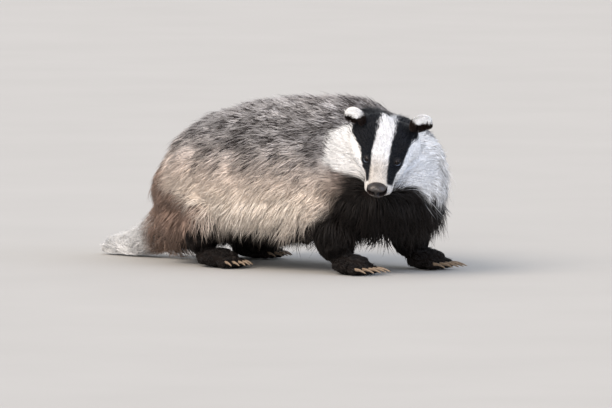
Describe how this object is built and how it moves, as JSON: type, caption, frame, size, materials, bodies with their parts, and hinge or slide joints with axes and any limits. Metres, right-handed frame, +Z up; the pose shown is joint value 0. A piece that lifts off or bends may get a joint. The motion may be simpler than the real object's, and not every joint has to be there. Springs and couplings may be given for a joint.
{
  "type": "european badger model",
  "caption": "Life-size European badger in its long autumn coat, standing low on four paws with its striped head turned to its right and lowered, as a still natural-history model",
  "frame": {"origin": "middle of the animal's plan, on the floor that its soles rest on", "axes": "+X forward along the trunk, +Y to the animal's left, +Z up; the head is turned towards -Y"},
  "size_m": [0.7466, 0.3092, 0.2811],
  "materials": {
    "coat_grizzled": "long bristly guard hair, pale with a dark band near the tips",
    "coat_white": "long soft white hair",
    "coat_black": "short dense black hair",
    "coat_face": "short flat hair in white and black stripes",
    "nose_leather": "moist pebbled skin",
    "eye": "wet and glossy",
    "claw": "worn horn"
  },
  "bodies": {
    "root": {"head": "coat_face", "nose": "nose_leather", "eye_left": "eye", "eye_right": "eye", "ear_left": "coat_white", "ear_right": "coat_white", "neck": "coat_white", "torso": "coat_grizzled", "leg_front_left": "coat_black", "leg_front_right": "coat_black", "leg_hind_left": "coat_black", "leg_hind_right": "coat_black", "tail": "coat_white"}
  },
  "joints": []
}
